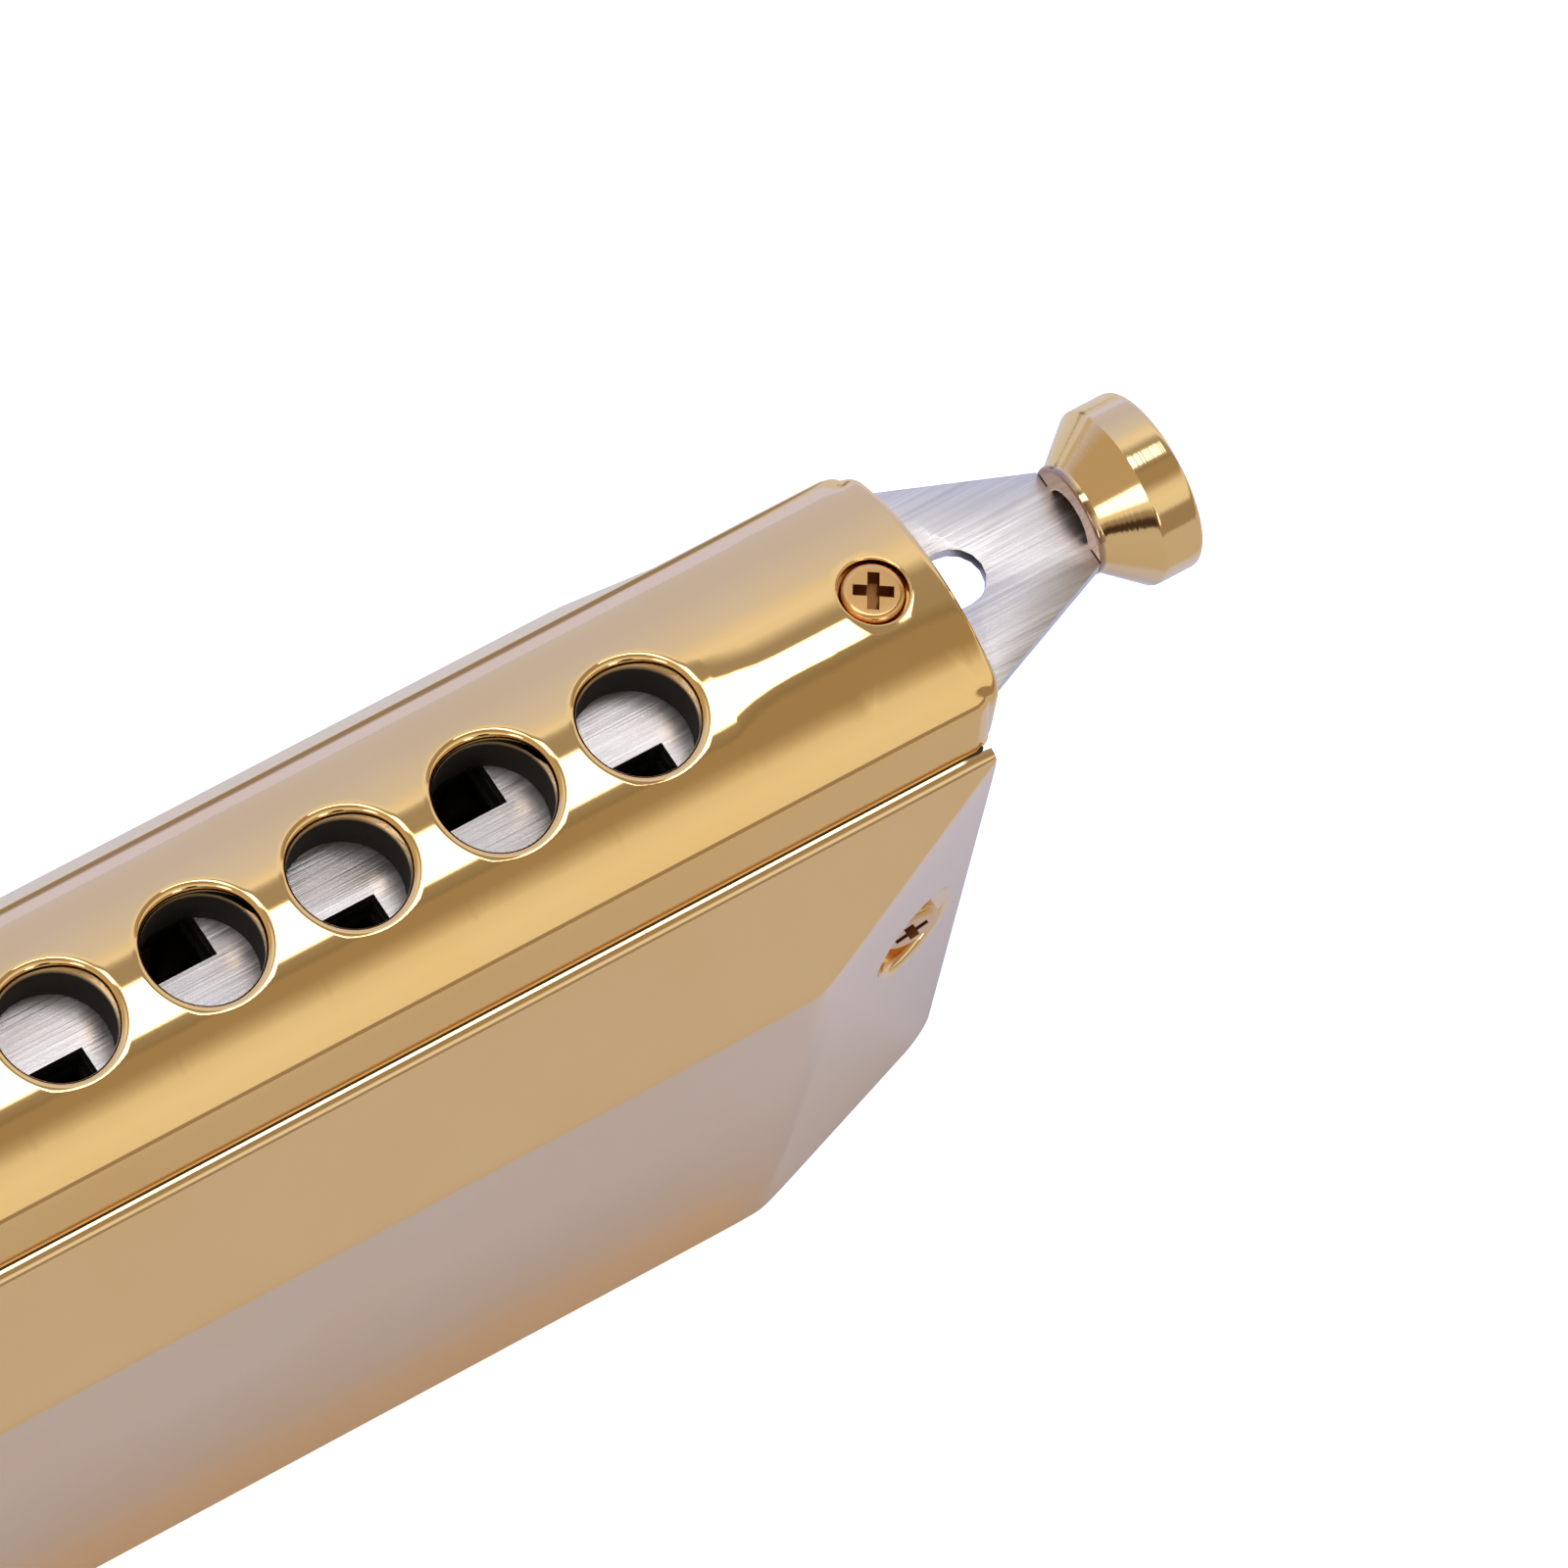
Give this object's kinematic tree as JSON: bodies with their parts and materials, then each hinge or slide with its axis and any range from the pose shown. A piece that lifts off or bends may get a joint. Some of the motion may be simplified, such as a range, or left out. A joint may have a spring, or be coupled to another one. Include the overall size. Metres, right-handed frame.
{
  "type": "chromatic harmonica",
  "caption": "Chromatic harmonica with round mouth holes in a crowned mouthpiece, a spring-loaded slide with a flared button at the end, and bevelled covers open at the rear.",
  "frame": {"origin": "on the surface that the covers' rear edges stand on, under the middle of the whole length with the button", "axes": "+X along the mouthpiece towards the slide button, +Z out of the mouth holes, -Y out of the lower cover"},
  "size_m": [0.159, 0.0288, 0.0446],
  "materials": {
    "gold_plate": "polished gold plate",
    "gold_screw": "polished",
    "slide_steel": "brushed lengthwise",
    "reed_brass": "satin",
    "plate_screw_brass": "satin",
    "comb_plastic": "satin black",
    "gasket_silicone": "matte",
    "sleeve_rubber": "matte",
    "spring_steel": "drawn wire"
  },
  "bodies": {
    "body": {"comb": "comb_plastic", "mouthpiece": "gold_plate", "slide_base_plate": "slide_steel", "slide_gasket": "gasket_silicone", "upper_reed_plate": "reed_brass", "upper_cover": "gold_plate", "upper_plate_screw_1": "plate_screw_brass", "upper_plate_screw_2": "plate_screw_brass", "upper_plate_screw_3": "plate_screw_brass", "upper_plate_screw_4": "plate_screw_brass", "upper_plate_screw_5": "plate_screw_brass", "upper_cover_screw_right": "gold_screw", "upper_cover_screw_left": "gold_screw", "lower_reed_plate": "reed_brass", "lower_cover": "gold_plate", "lower_plate_screw_1": "plate_screw_brass", "lower_plate_screw_2": "plate_screw_brass", "lower_plate_screw_3": "plate_screw_brass", "lower_plate_screw_4": "plate_screw_brass", "lower_plate_screw_5": "plate_screw_brass", "lower_cover_screw_right": "gold_screw", "lower_cover_screw_left": "gold_screw", "mouthpiece_screw_right": "gold_screw", "bumper_sleeve_right": "sleeve_rubber", "mouthpiece_screw_left": "gold_screw", "bumper_sleeve_left": "sleeve_rubber", "slide_spring": "spring_steel"},
    "slide": {"slide": "slide_steel", "slide_button": "gold_plate"}
  },
  "joints": [
    {"name": "slide_press", "type": "slide", "parent": "body", "child": "slide", "axis": [-1, 0, 0], "range_m": [0, 0.006], "stiffness_N_per_m": 350, "springref_m": -0.003, "deforming": ["slide_spring"]}
  ]
}
